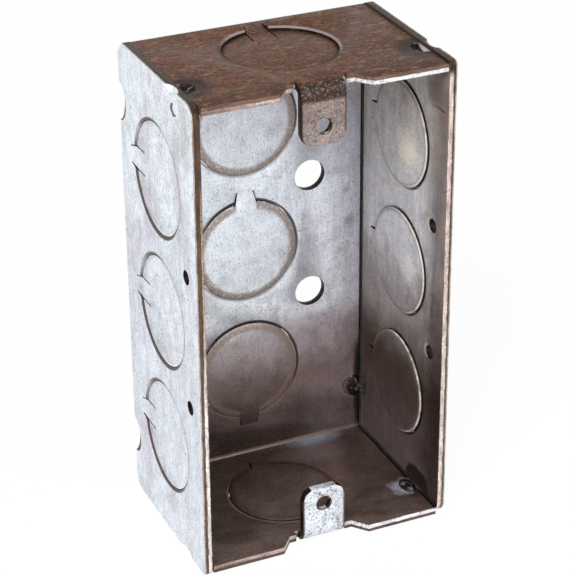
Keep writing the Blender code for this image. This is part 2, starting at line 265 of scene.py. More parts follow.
def build_zinc_grain():
    """Fine grain, soft clouds and scattered dark specks of a zinc coat."""
    tree, given, out = new_group(
        "Zinc grain",
        {"Vector": None, "Grain": 2000.0, "Clouds": 260.0, "Specks": 1500.0, "Sparse": 0.62},
        ("Grain", "Clouds", "Specks", "Height"),
    )
    vector = given["Vector"]
    grain = noise(tree, vector, given["Grain"], 3.0, 0.75)
    clouds = noise(tree, vector, given["Clouds"], 4.0, 0.62, 0.6)
    blots = noise(tree, vector, given["Specks"], 3.0, 0.7, 0.4)
    gathered = times(tree, minus(tree, clouds, 0.5), 0.22)
    limit = plus(tree, given["Sparse"], gathered)
    specks = ramp(tree, minus(tree, blots, limit), 0.0, 0.05)
    height = minus(tree, times(tree, grain, 0.5), specks)
    give_out(tree, out, {"Grain": grain, "Clouds": clouds, "Specks": specks, "Height": height})


def build_rolling_streaks():
    """Long soft lines left on the sheet by the mill rolls."""
    tree, given, out = new_group(
        "Rolling streaks",
        {"Vector": None, "Stretch": (1.0, 1.0, 1.0), "Scale": 900.0},
        ("Streaks", "Fine"),
    )
    drawn = stretched(tree, given["Vector"], given["Stretch"])
    broad = noise(tree, drawn, given["Scale"], 4.0, 0.65, 0.3)
    fine = noise(tree, drawn, times(tree, given["Scale"], 3.5), 3.0, 0.6)
    give_out(tree, out, {"Streaks": broad, "Fine": fine})


def build_knockout_distance():
    """How far the nearest knockout's middle is, its painted shade side, and clear of its tie."""
    tree, given, out = new_group(
        "Knockout distance",
        {
            "Across": 0.0,
            "Along": 0.0,
            "Pitch": KNOCKOUT_PITCH,
            "Neighbours": 1.0,
            "Shade across": 0.7,
            "Shade along": 0.7,
            "Tie across": 0.0,
            "Tie along": 1.0,
            "Lowest turned": 0.0,
        },
        ("Distance", "Shade side", "Off tie"),
    )
    step = maths(tree, "ROUND", maths(tree, "DIVIDE", given["Along"], given["Pitch"]))
    most = maths(tree, "MINIMUM", step, given["Neighbours"])
    step = maths(tree, "MAXIMUM", most, times(tree, given["Neighbours"], -1.0))
    along = minus(tree, given["Along"], times(tree, step, given["Pitch"]))
    across = given["Across"]
    squares = plus(tree, times(tree, along, along), times(tree, across, across))
    distance = maths(tree, "SQRT", squares)
    up_shade = times(tree, along, given["Shade along"])
    side = plus(tree, up_shade, times(tree, across, given["Shade across"]))
    lowest = times(tree, maths(tree, "LESS_THAN", step, -0.5), given["Lowest turned"])
    turn = minus(tree, 1.0, times(tree, lowest, 2.0))
    up_tie = times(tree, along, given["Tie along"])
    ahead = times(tree, plus(tree, up_tie, times(tree, across, given["Tie across"])), turn)
    over_tie = times(tree, across, given["Tie along"])
    beside = minus(tree, over_tie, times(tree, along, given["Tie across"]))
    narrow = ramp(tree, maths(tree, "ABSOLUTE", beside), TIE_HALF_WIDTH, TIE_HALF_WIDTH - 0.5 * MM)
    on_tie = times(tree, narrow, maths(tree, "GREATER_THAN", ahead, 0.0))
    tree.links.new(distance, out["Distance"])
    tree.links.new(maths(tree, "DIVIDE", side, distance), out["Shade side"])
    tree.links.new(minus(tree, 1.0, on_tie), out["Off tie"])


def build_shear_rings():
    """Stained band inside a slug's edge; painted shadow, rims and a highlight lip round the hole.
    """
    tree, given, out = new_group(
        "Shear rings",
        {
            "Vector": None,
            "Distance": 0.0,
            "Shade side": 0.0,
            "Off tie": 1.0,
            "Radius": SLUG_RADIUS,
            "Band": 1.5 * MM,
            "Ragged": 1.2 * MM,
            "Rim": DEFAULT_RIM,
        },
        ("Band", "Dark rim", "Bright rim", "Lip"),
    )
    vector = given["Vector"]
    shift = times(tree, minus(tree, noise(tree, vector, 900.0, 5.0, 0.8), 0.5), given["Ragged"])
    inner = minus(tree, given["Radius"], given["Band"])
    depth = minus(tree, plus(tree, given["Distance"], shift), inner)
    stain = ramp(tree, noise(tree, vector, 1700.0, 4.0, 0.8), 0.3, 0.5)
    band = times(tree, ramp(tree, depth, -0.4 * MM, 0.6 * MM), stain, given["Off tie"])
    past = minus(tree, given["Distance"], given["Radius"])
    inside = maths(tree, "LESS_THAN", past, RIM_START)
    outside = maths(tree, "GREATER_THAN", past, RIM_START)
    fade = ramp(tree, minus(tree, past, given["Rim"]), 0.25 * MM, 0.0)
    fade = times(tree, fade, given["Off tie"])
    # Dark rim: painted shadow on the side of each hole turned away from the light.
    dark = ramp(tree, given["Shade side"], -0.25, 0.4)
    # Bright rim: a painted line on the lit side, a painted highlight where its tone is pale.
    bright = ramp(tree, given["Shade side"], 0.25, -0.5)
    tree.links.new(times(tree, band, inside), out["Band"])
    tree.links.new(times(tree, fade, outside, dark), out["Dark rim"])
    tree.links.new(times(tree, fade, outside, bright), out["Bright rim"])
    # Lip: a painted highlight just inside the slug's edge on the shaded side, broken by noise.
    lip_breakup = ramp(tree, noise(tree, vector, 500.0, 3.0), 0.35, 0.55, 0.3, 1.0)
    lip = times(tree, ramp(tree, past, -0.5 * MM, -0.3 * MM), inside, dark)
    tree.links.new(times(tree, lip, lip_breakup, given["Off tie"]), out["Lip"])


def build_scuffs():
    """Thin scratches that run one way, mostly worn off."""
    tree, given, out = new_group(
        "Scuffs",
        {"Vector": None, "Stretch": (1.0, 1.0, 1.0), "Scale": 500.0},
        ("Scuffs",),
    )
    drawn = stretched(tree, given["Vector"], given["Stretch"])
    line = noise(tree, drawn, given["Scale"], 2.0, 0.5, 0.8)
    thin = ramp(tree, maths(tree, "ABSOLUTE", minus(tree, line, 0.5)), 0.012, 0.0)
    gate = ramp(tree, noise(tree, given["Vector"], 180.0, 2.0), 0.52, 0.66)
    tree.links.new(times(tree, thin, gate), out["Scuffs"])


def build_stain_and_light_mark():
    """A ragged stain, scorch or patch of painted light, and ripples of melted zinc in it."""
    tree, given, out = new_group(
        "Scorch",
        {
            "Vector": None,
            "Centre": (0.0, 0.0, 0.0),
            "Stretch": (1.0, 1.0, 1.0),
            "Radius": 3.0 * MM,
            "Core": 0.5,
            "Ragged": 1.5 * MM,
            "Grain": 420.0,
        },
        ("Mark", "Ripples"),
    )
    vector = given["Vector"]
    ragged = minus(tree, noise(tree, vector, given["Grain"], 4.0, 0.65), 0.5)
    here = stretched(tree, vector, given["Stretch"])
    middle = stretched(tree, given["Centre"], given["Stretch"])
    between = {0: here, 1: middle}
    away = place(tree, "ShaderNodeVectorMath", between, operation="DISTANCE").outputs[1]
    away = plus(tree, away, times(tree, ragged, given["Ragged"]))
    spread = ramp(tree, away, given["Radius"], times(tree, given["Radius"], given["Core"]))
    waves = maths(tree, "SINE", times(tree, away, 2 * math.pi / RIPPLE_PITCH))
    tree.links.new(spread, out["Mark"])
    tree.links.new(times(tree, ramp(tree, waves, 0.2, 0.9), spread), out["Ripples"])


# Finishes


def shade(red, green, blue):
    """A colour from its screen values, 0 to 255, as the renderer counts light."""
    out = []
    for value in (red, green, blue):
        value = value / 255
        out.append(value / 12.92 if value <= 0.04045 else ((value + 0.055) / 1.055) ** 2.4)
    return (*out, 1.0)


def chosen(name):
    """A colour of the sheet as the panel holds it."""
    return (*getattr(bpy.context.scene.handybox_sheet, name), 1.0)


def new_material(name):
    """A material, its nodes, its shader, and the place on the piece whole and in parts."""
    material = bpy.data.materials.new(name)
    material.use_nodes = True
    tree = material.node_tree
    surface = tree.nodes["Principled BSDF"]
    where = place(tree, "ShaderNodeTexCoord").outputs["Object"]
    apart = place(tree, "ShaderNodeSeparateXYZ", {0: where}).outputs
    return material, tree, surface, where, apart


def fall(tree, height, stops):
    """Colours that change along a direction: pairs of a place and a colour, in order."""
    colour = stops[0][1]
    for (low, _), (high, above) in zip(stops, stops[1:]):
        colour = blend(tree, ramp(tree, height, low, high), colour, above)
    return colour


def finish_surface(tree, surface, colour, rough, height, strength, metal, shine=0.5):
    """Join colour, roughness and bump to the shader."""
    bump = place(
        tree, "ShaderNodeBump", {"Strength": strength, "Distance": BUMP_HEIGHT, "Height": height}
    )
    tree.links.new(colour, surface.inputs["Base Color"])
    tree.links.new(rough, surface.inputs["Roughness"])
    tree.links.new(bump.outputs[0], surface.inputs["Normal"])
    surface.inputs["Metallic"].default_value = metal
    surface.inputs["Specular IOR Level"].default_value = shine


def add_rings(tree, where, apart, colour, rough, height, rings):
    """Stains, painted shadow and highlight rims of the knockouts of one flat sheet."""
    across, along = rings["axes"]
    middle_across, middle_along = rings["middle"]
    near = use_group(
        tree,
        "Knockout distance",
        {
            "Across": minus(tree, apart[across], middle_across),
            "Along": minus(tree, apart[along], middle_along),
            "Neighbours": rings["neighbours"],
            "Shade across": rings["shade"][0],
            "Shade along": rings["shade"][1],
            "Tie across": rings["tie"][0],
            "Tie along": rings["tie"][1],
            "Lowest turned": rings.get("turned", 0.0),
        },
    )
    marks = use_group(
        tree,
        "Shear rings",
        {
            "Vector": where,
            "Distance": near["Distance"],
            "Shade side": near["Shade side"],
            "Off tie": near["Off tie"],
            "Band": rings["width"],
            "Rim": rings.get("rim", DEFAULT_RIM),
        },
    )
    labels = {"band": "Band", "dark": "Dark rim", "bright": "Bright rim", "lip": "Lip"}
    for key, label in labels.items():
        share, tone = rings.get(key, (0.0, DULL_LINE))
        colour = blend(tree, times(tree, marks[label], share), colour, tone)
    rough = plus(tree, rough, times(tree, marks["Band"], 0.12))
    height = minus(tree, height, times(tree, marks["Band"], 0.4))
    return colour, rough, height


def galvanised(name, look):
    """Coated sheet, bright or brown, with painted shade, streaks, specks, rings and marks."""
    material, tree, surface, where, apart = new_material(name)
    grain = use_group(tree, "Zinc grain", {"Vector": where, **look.get("grain", {})})
    streaks = use_group(
        tree,
        "Rolling streaks",
        {"Vector": where, "Stretch": look["run"], "Scale": look.get("streak_scale", 700.0)},
    )
    wander = times(tree, minus(tree, grain["Clouds"], 0.5), look["wander"])
    # The stops give the coat's tone and, on many sheets, painted shade and reflection by place.
    colour = fall(tree, plus(tree, apart[look.get("axis", Z)], wander), look["stops"])
    # Shading: painted shade, darkening towards a side or edge.
    for axis, low, high, tone in look.get("shading", ()):
        share = ramp(tree, plus(tree, apart[axis], times(tree, wander, 0.5)), low, high)
        darker = blend(tree, 1.0, colour, tone, "MULTIPLY")
        colour = blend(tree, share, colour, darker)
    # Sheen: a painted highlight, lighter in one corner.
    if "sheen" in look:
        axis, low, high, from_height, to_height, tone = look["sheen"]
        share = ramp(tree, apart[axis], low, high)
        share = times(tree, share, ramp(tree, apart[Z], from_height, to_height))
        colour = blend(tree, times(tree, share, 0.6), colour, tone)
    colour = vary(tree, colour, grain["Clouds"], look["clouds"])
    colour = vary(tree, colour, grain["Grain"], look["speckle"])
    colour = vary(tree, colour, streaks["Streaks"], look["streaks"])
    colour = vary(tree, colour, streaks["Fine"], look.get("fine", 0.0))
    share, tone, scale, stretch, kind = look["film"]
    film = noise(tree, stretched(tree, where, stretch), scale, 4.0, 0.6, 0.5)
    colour = blend(tree, times(tree, ramp(tree, film, 0.46, 0.66), share), colour, tone, kind)
    # Lines: painted shade in narrow bands along seams, corners and edges.
    for axis, low, high, tone in look.get("lines", ()):
        colour = blend(tree, ramp(tree, apart[axis], low, high), colour, tone, "MULTIPLY")
    for low, high, share, tone in look.get("dashes", ()):
        dash = times(tree, ramp(tree, streaks["Streaks"], low, high), share)
        colour = blend(tree, dash, colour, tone)
    share, tone = look["specks"]
    colour = blend(tree, times(tree, grain["Specks"], share), colour, tone)
    if "flecks" in look:
        share, tone = look["flecks"]
        flecks = ramp(tree, grain["Grain"], 0.54, 0.62)
        colour = blend(tree, times(tree, flecks, share), colour, tone)
    smoothest, roughest = look["rough"] - 0.06, look["rough"] + 0.08
    rough = ramp(tree, grain["Clouds"], 0.3, 0.7, smoothest, roughest)
    height = times(tree, grain["Height"], 0.6)
    height = plus(tree, height, times(tree, streaks["Fine"], 0.4))
    if "rings" in look:
        colour, rough, height = add_rings(
            tree, where, apart, colour, rough, height, look["rings"]
        )
    # Marks: stains and heat marks, and patches of painted shade and highlight.
    for inputs, share, tone, ripple in look.get("marks", ()):
        spot = use_group(tree, "Scorch", {"Vector": where, **inputs})
        colour = blend(tree, times(tree, spot["Mark"], share), colour, tone)
        colour = blend(tree, times(tree, spot["Ripples"], ripple), colour, shade(*RIPPLE_TONE))
        height = plus(tree, height, times(tree, spot["Ripples"], 2.0 * ripple))
    if "scuffs" in look:
        share, tone, stretch = look["scuffs"]
        scuffs = use_group(tree, "Scuffs", {"Vector": where, "Stretch": stretch})
        colour = blend(tree, times(tree, scuffs["Scuffs"], share), colour, tone)
    shine = look.get("shine", 0.5)
    finish_surface(tree, surface, colour, rough, height, 0.4, look["metal"], shine)
    return material


def sheared(name, look):
    """A cut edge: burnished bright on the inner side of the sheet, torn and dark on the outer."""
    material, tree, surface, where, apart = new_material(name)
    grain = use_group(
        tree, "Zinc grain", {"Vector": where, "Grain": 3200.0, "Clouds": 420.0, "Sparse": 0.56}
    )
    streaks = use_group(
        tree, "Rolling streaks", {"Vector": where, "Stretch": look["run"], "Scale": 1500.0}
    )
    through = place(tree, "ShaderNodeAttribute", attribute_name="through").outputs[2]
    ragged = times(tree, minus(tree, grain["Clouds"], 0.5), look["ragged"])
    depth = plus(tree, through, ragged)
    bright = fall(tree, apart[look.get("axis", Z)], look["bright"])
    torn = fall(tree, apart[Z], look["torn"])
    split = ramp(tree, apart[Z], *look["split"])
    beyond = minus(tree, depth, split)
    colour = blend(tree, ramp(tree, beyond, -0.07, 0.07), bright, torn)
    colour = blend(tree, ramp(tree, depth, 0.1, 0.0, 0.0, 0.6), colour, look["line"])
    for low, high, tone in look.get("smoke", ()):
        colour = blend(tree, ramp(tree, apart[Z], low, high), colour, tone)
    colour = blend(tree, ramp(tree, through, 0.78, 0.88, 0.0, 0.6), colour, look["rim"])
    colour = vary(tree, colour, streaks["Streaks"], 0.4)
    colour = vary(tree, colour, grain["Grain"], 0.3)
    colour = blend(tree, times(tree, grain["Specks"], 0.35), colour, look["line"])
    rough = ramp(tree, streaks["Fine"], 0.3, 0.7, 0.36, 0.62)
    height = plus(tree, streaks["Fine"], grain["Height"])
    finish_surface(tree, surface, colour, rough, height, 0.6, 0.75)
    return material


def dark_steel(name, tone, glint, share, metal=0.6):
    """Bare or scorched steel with a few painted glints."""
    material, tree, surface, where, _ = new_material(name)
    grain = use_group(tree, "Zinc grain", {"Vector": where, "Grain": 2600.0, "Clouds": 700.0})
    spark = ramp(tree, grain["Clouds"], 0.52, 0.66)
    colour = blend(tree, times(tree, spark, share), tone, glint)
    colour = vary(tree, colour, grain["Grain"], 0.35)
    rough = ramp(tree, grain["Clouds"], 0.3, 0.7, 0.36, 0.66)
    finish_surface(tree, surface, colour, rough, grain["Height"], 0.6, metal, 0.5 * metal)
    return material


def sheared_wall(name, glint):
    """The wall a punch leaves through the sheet, painted near black as shade in the cut."""
    return dark_steel(name, SHADED_WALL_TONE, glint, 0.3, 0.2)


# Looks of each sheet

DULL_LINE = shade(60, 46, 40)
# Near black: the steel of a sheared wall with the shade in the narrow cut painted in.
SHADED_WALL_TONE = shade(30, 20, 16)
WALL_GLINT = shade(110, 96, 88)

BACK_RINGS = {
    "axes": (X, Z),
    "middle": (PUNCHED_LEFT, KNOCKOUT_MIDDLE),
    "neighbours": 1.0,
    "tie": (0.0, 1.0),
    "turned": 1.0,
}
END_RINGS = {"axes": (X, Y), "neighbours": 0.0, "tie": (0.0, 1.0)}
PLATE_RINGS = {
    "axes": (Y, Z),
    "middle": (0.0, KNOCKOUT_MIDDLE),
    "neighbours": 1.0,
    "tie": (1.0, 0.0),
}

# What a look holds. "run" stretches the mill's lines, and "wander" is how far a shade strays.
# "clouds", "speckle", "streaks" and "fine" are how much each noise changes the shade. "film"
# is one more noise: its strength, tone, scale, stretch and way of mixing. "stops" give the
# coat's tone and, inside the box and on the ends, painted shade and reflection by place.
# "shading", "lines" and "sheen" paint shade and highlight by place, and "dashes" change the
# shade with the mill's lines. "specks" and "flecks" are dots, and "scuffs" are rubbed lines.
# "rings" belong to the knockouts: stained bands with painted shadow and highlight rims.
# "marks" are single stains and heat marks, and patches of painted shade and highlight.

INSIDE_LOOK = {
    "run": (1.0, 1.0, 0.12),
    "wander": 14 * MM,
    "clouds": 0.08,
    "speckle": 0.16,
    "streaks": 0.05,
    "fine": 0.06,
    "film": (0.7, shade(238, 232, 232), 300.0, (1.0, 1.0, 1.0), "MULTIPLY"),
    "specks": (0.42, shade(112, 98, 96)),
    "rough": 0.42,
    "metal": 0.6,
}

OUTSIDE_LOOK = {
    "run": (1.0, 1.0, 0.18),
    "wander": 20 * MM,
    "clouds": 0.1,
    "speckle": 0.2,
    "streaks": 0.09,
    "fine": 0.08,
    "film": (0.75, shade(234, 224, 229), 110.0, (1.0, 1.0, 0.5), "MULTIPLY"),
    "dashes": [(0.58, 0.7, 0.4, shade(180, 170, 174))],
    "specks": (0.7, shade(132, 118, 116)),
    "grain": {"Sparse": 0.6, "Specks": 1900.0},
    "rough": 0.45,
    "metal": 0.6,
    "scuffs": (0.4, shade(168, 158, 166), (1.0, 1.0, 0.12)),
}

# Streaks and specks of the ends; painted reflection and shade where they show are in the stops.
BROWN_LOOK = {
    "run": (0.32, 1.0, 1.0),
    "streak_scale": 1150.0,
    "wander": 8 * MM,
    "axis": X,
    "clouds": 0.25,
    "speckle": 0.75,
    "streaks": 0.5,
    "fine": 0.6,
    "film": (0.5, shade(102, 72, 56), 130.0, (0.6, 1.0, 1.0), "MIX"),
    "dashes": [
        (0.54, 0.62, 0.7, shade(44, 28, 21)),
        (0.44, 0.37, 0.5, shade(152, 118, 100)),
    ],
    "specks": (0.7, shade(42, 26, 20)),
    "rough": 0.5,
    "metal": 0.45,
    "shine": 0.25,
}


def mark(centre, radius, share, tone, ripple=0.0, **shape):
    """A stain, heat mark or painted light: middle, reach, strength, shade and how it is drawn."""
    inputs = {"Centre": centre, "Radius": radius}
    inputs.update({key.capitalize(): value for key, value in shape.items()})
    return inputs, share, tone, ripple


def strip_back_inside():
    weld = (STRIP_HALF_WIDTH - 1.2 * MM, BACK_INNER, WELD_FROM_END)
    seam = (STRIP_HALF_WIDTH, BACK_INNER, WELD_FROM_END)
    fold_highlight = (0.0, BACK_INNER, FOOT_INNER + 0.4 * MM)
    upper_stain = (21.6 * MM, BACK_INNER, 60.6 * MM)
    lower_stain = (22.4 * MM, BACK_INNER, 53.4 * MM)
    stain_tone = shade(120, 96, 86)
    blot = {"core": 0.05, "ragged": 4 * MM, "grain": 1200.0}
    seam_line = (STRIP_HALF_WIDTH - 0.4 * MM, STRIP_HALF_WIDTH - 0.25 * MM)
    ragged = 3.5 * MM
    look = dict(
        INSIDE_LOOK,
        wander=6 * MM,
        # Painted shade: darker towards the foot and a little under the top end; bright coat mid
        # height.
        stops=[
            (3 * MM, shade(68, 56, 50)),
            (10 * MM, shade(90, 76, 73)),
            (18 * MM, shade(130, 113, 110)),
            (28 * MM, shade(176, 165, 168)),
            (38 * MM, shade(236, 242, 250)),
            (60 * MM, chosen("inner_zinc")),
            (95 * MM, shade(206, 208, 216)),
        ],
        # Painted shade: darker towards the right seam.
        shading=[(X, 3 * MM, 14 * MM, shade(226, 222, 224))],
        # Painted highlight: a lighter patch low at the right.
        sheen=(X, 8 * MM, 20 * MM, 22 * MM, 14 * MM, shade(150, 134, 134)),
        # Painted shade in the right seam.
        lines=[(X, *seam_line, shade(60, 44, 38))],
        grain={"Sparse": 0.585, "Specks": 2200.0},
        # Rings: stained band, painted shadow to the upper right, painted line on the lit side,
        # painted lip.
        rings=dict(
            BACK_RINGS,
            shade=(0.55, 0.83),
            width=1.7 * MM,
            band=(0.85, chosen("cut_stain")),
            dark=(0.9, shade(40, 28, 24)),
            bright=(0.6, shade(124, 106, 98)),
            lip=(0.35, shade(206, 200, 200)),
        ),
        marks=[
            # Painted highlight along the fold of the foot into the back.
            mark(
                fold_highlight, 0.6 * MM, 0.6, shade(168, 144, 130), stretch=(0.0, 1.0, 1.0),
                ragged=0.4 * MM,
            ),
            mark(weld, 4.2 * MM, 0.25, shade(176, 160, 156), core=0.8, ragged=ragged),
            mark(weld, 3.4 * MM, 0.7, shade(66, 52, 48), 0.2, core=0.7, ragged=ragged),
            mark(seam, 2.8 * MM, 0.95, shade(26, 16, 14), core=0.7, ragged=1.5 * MM),
            mark(
                seam, 2.1 * MM, 0.9, shade(22, 14, 12), stretch=(1.0, 1.0, 0.14), ragged=0.8 * MM,
            ),
            mark(upper_stain, 1.8 * MM, 0.5, stain_tone, **blot),
            mark(lower_stain, 2.2 * MM, 0.55, stain_tone, **blot),
        ],
    )
    return galvanised("back_inside_zinc", look)


def strip_back_outside():
    look = dict(
        INSIDE_LOOK,
        stops=[(0.0, shade(196, 198, 204)), (HEIGHT, shade(206, 209, 216))],
        clouds=0.1,
        # Rings: painted shadow below each hole and a painted line above it.
        rings=dict(
            BACK_RINGS,
            shade=(0.0, -1.0),
            width=0.6 * MM,
            band=(0.25, shade(150, 138, 132)),
            dark=(0.5, shade(70, 58, 54)),
            bright=(0.3, shade(236, 236, 240)),
        ),
    )
    return galvanised("back_outside_zinc", look)


def strip_top_outside():
    scorch = chosen("scorch")
    marks = [
        mark(
            (side * (STRIP_HALF_WIDTH - 1.0 * MM), WELD_Y, END_FACE), 6.0 * MM, 0.85, scorch,
            ragged=2.5 * MM, core=0.6,
        )
        for side in (-1, 1)
    ]
    spot = (23.4 * MM, 14.8 * MM, END_FACE)
    marks.append(mark(spot, 0.9 * MM, 0.9, shade(30, 18, 14), ragged=0.4 * MM))
    look = dict(
        BROWN_LOOK,
        # Painted reflection: the top end's brown stands for dark surroundings mirrored in it.
        stops=[(-22 * MM, chosen("reflection_brown")), (18 * MM, shade(84, 54, 38))],
        # Painted shade: darker towards the front edge.
        shading=[(Y, -12 * MM, -19 * MM, shade(205, 196, 186))],
        # Rings: painted shadow to the front left of the knockout and a painted line on the lit
        # side.
        rings=dict(
            END_RINGS,
            middle=(0.0, TOP_KNOCKOUT_Y),
            shade=(-0.6, -0.8),
            width=0.7 * MM,
            rim=0.55 * MM,
            band=(0.75, shade(40, 26, 18)),
            dark=(0.9, shade(46, 29, 21)),
            bright=(0.4, shade(190, 180, 184)),
        ),
        marks=marks,
    )
    return galvanised("top_outside_reflection_and_scorch", look)


def strip_top_inside():
    stops = [(-20 * MM, shade(140, 128, 122)), (20 * MM, shade(130, 118, 112))]
    return galvanised("top_inside_film", dict(BROWN_LOOK, stops=stops))


def strip_foot_inside():
    weld = (STRIP_HALF_WIDTH - 2.5 * MM, WELD_Y + 0.2 * MM, FOOT_INNER)
    scorch = (STRIP_HALF_WIDTH, WELD_Y, FOOT_INNER)
    glow = (13.6 * MM, 16.6 * MM, FOOT_INNER)
    warm = (12.0 * MM, 12.0 * MM, FOOT_INNER)
    stain = (-17.0 * MM, -11.5 * MM, FOOT_INNER)
    seam_line = (STRIP_HALF_WIDTH - 0.6 * MM, STRIP_HALF_WIDTH - 0.25 * MM)
    look = dict(
        BROWN_LOOK,
        # Painted shade and reflection: the foot's inner face is painted dark brown.
        stops=[(-22 * MM, shade(108, 92, 84)), (24 * MM, shade(122, 104, 96))],
        clouds=0.16,
        speckle=0.3,
        streaks=0.1,
        fine=0.12,
        film=(0.4, shade(84, 70, 62), 110.0, (1.0, 1.0, 1.0), "MIX"),
        dashes=[(0.6, 0.7, 0.3, shade(60, 46, 40))],
        # Painted shade in the right seam.
        lines=[(X, *seam_line, shade(70, 52, 46))],
        specks=(0.4, shade(44, 32, 28)),
        rough=0.36,
        metal=0.7,
        # Rings: painted shadow to the back right of the knockout, painted highlight on its front
        # left.
        rings=dict(
            END_RINGS,
            middle=(PUNCHED_LEFT, FOOT_KNOCKOUT_Y),
            shade=(0.6, 0.8),
            width=1.4 * MM,
            band=(0.4, shade(60, 46, 40)),
            dark=(0.5, shade(40, 30, 26)),
            bright=(0.55, shade(196, 184, 176)),
        ),
        marks=[
            mark(
                stain, 3.4 * MM, 0.45, shade(40, 32, 28), stretch=(0.6, 1.0, 1.0), ragged=3 * MM,
            ),
            mark(scorch, 6.0 * MM, 0.7, shade(46, 36, 34), ragged=4 * MM),
            mark(weld, 3.7 * MM, 0.9, shade(186, 182, 206), 1.0, core=0.5, ragged=4.5 * MM),
            mark(warm, 7.5 * MM, 0.35, shade(168, 156, 164), core=0.1, ragged=3 * MM),
            # Painted highlight: a bluish light along the bend into the back.
            mark(
                glow, 3.6 * MM, 0.85, shade(206, 222, 244), stretch=(0.4, 1.0, 1.0), core=0.1,
                ragged=2 * MM,
            ),
        ],
    )
    return galvanised("foot_inside_shade_and_stains", look)


def strip_foot_outside():
    stops = [(-20 * MM, shade(170, 164, 162)), (20 * MM, shade(160, 152, 150))]
    return galvanised("foot_outside_zinc", dict(BROWN_LOOK, stops=stops))


def strip_ear():
    look = dict(
        INSIDE_LOOK,
        wander=1.5 * MM,
        clouds=0.2,
        speckle=0.4,
        flecks=(0.26, shade(176, 160, 150)),
        specks=(0.85, shade(84, 62, 56)),
        grain={"Sparse": 0.57, "Specks": 1700.0},
        # Painted shade: the upper ear darker and its bend painted dark brown; the lower ear bright.
        stops=[
            (2 * MM, shade(214, 220, 228)),
            (40 * MM, shade(206, 210, 216)),
            (88 * MM, shade(144, 130, 126)),
            (97.0 * MM, shade(134, 120, 114)),
            (98.2 * MM, shade(46, 32, 24)),
            (101.4 * MM, shade(42, 28, 20)),
        ],
        # Darker sides: the ear's dark cut edges, with painted shade.
        lines=[
            (X, EAR_HALF_WIDTH - 0.5 * MM, EAR_HALF_WIDTH - 0.1 * MM, shade(150, 130, 118)),
            (X, 0.5 * MM - EAR_HALF_WIDTH, 0.1 * MM - EAR_HALF_WIDTH, shade(110, 90, 80)),
        ],
    )
    return galvanised("ear_zinc", look)


def strip_cut_edges():
    look = {
        "run": (0.15, 1.0, 1.0),
        "ragged": 0.3,
        "split": (0.0, HEIGHT, 0.55, 0.5),
        "axis": X,
        "bright": [
            (-24 * MM, shade(150, 128, 118)),
            (-8 * MM, shade(192, 176, 170)),
            (10 * MM, shade(226, 224, 228)),
        ],
        "torn": [(10 * MM, shade(96, 78, 70)), (90 * MM, shade(112, 88, 78))],
        "line": shade(60, 44, 38),
        "rim": shade(96, 72, 62),
    }
    return sheared("strip_cut_edges", look)


def plate_cut_edges(word):
    """Cut edges of a side plate: its bright band narrows up the left one only."""
    if word == "left":
        split = (34 * MM, 62 * MM, 0.45, 0.24)
        bright = [
            (30 * MM, shade(228, 222, 220)),
            (60 * MM, shade(186, 166, 150)),
            (80 * MM, shade(160, 138, 122)),
            (88 * MM, shade(84, 64, 52)),
        ]
    else:
        split = (0.0, HEIGHT, 0.55, 0.58)
        bright = [(20 * MM, shade(214, 202, 194)), (80 * MM, shade(196, 180, 172))]
    look = {
        "run": (1.0, 1.0, 0.2),
        "ragged": 0.35,
        "split": split,
        "bright": bright,
        "torn": [
            (30 * MM, shade(98, 82, 72)),
            (60 * MM, shade(94, 76, 62)),
            (96 * MM, shade(80, 62, 50)),
        ],
        "line": shade(56, 42, 34),
        "rim": shade(206, 194, 186),
        "smoke": [(HEIGHT - 3.4 * MM, HEIGHT - 1.6 * MM, shade(60, 46, 36))],
    }
    return sheared(f"{word}_plate_cut_edges", look)


def plate_outside(name):
    """Bright coat, with a smear and a small C mark on the left plate's outer face."""
    smear = (-HALF_WIDTH, -15.0 * MM, 95.0 * MM)
    c_mark_shadow = (-HALF_WIDTH, -10.0 * MM, 97.9 * MM)
    c_mark_highlight = (-HALF_WIDTH, -10.7 * MM, 98.3 * MM)
    look = dict(
        OUTSIDE_LOOK,
        stops=[
            (0.0, shade(221, 227, 235)),
            (40 * MM, shade(214, 219, 228)),
            (96 * MM, chosen("outer_zinc")),
        ],
        # Rings: painted shadow low at the back of each hole, painted line on the lit side, painted
        # lip.
        rings=dict(
            PLATE_RINGS,
            shade=(0.5, -0.85),
            width=0.5 * MM,
            rim=0.62 * MM,
            band=(0.4, shade(150, 136, 130)),
            dark=(0.95, shade(72, 54, 46)),
            bright=(0.95, shade(92, 72, 62)),
            lip=(0.8, shade(250, 250, 250)),
        ),
        marks=[
            mark(
                smear, 4.0 * MM, 0.4, shade(150, 134, 130), stretch=(1.0, 1.0, 0.35), core=0.1,
                ragged=9 * MM, grain=900.0,
            ),
            # The C mark: a dark crescent of painted shadow round a painted highlight.
            mark(c_mark_shadow, 1.4 * MM, 0.95, shade(30, 20, 16), core=0.95),
            mark(c_mark_highlight, 1.15 * MM, 0.9, shade(236, 236, 240), core=0.8),
        ],
    )
    return galvanised(name, look)


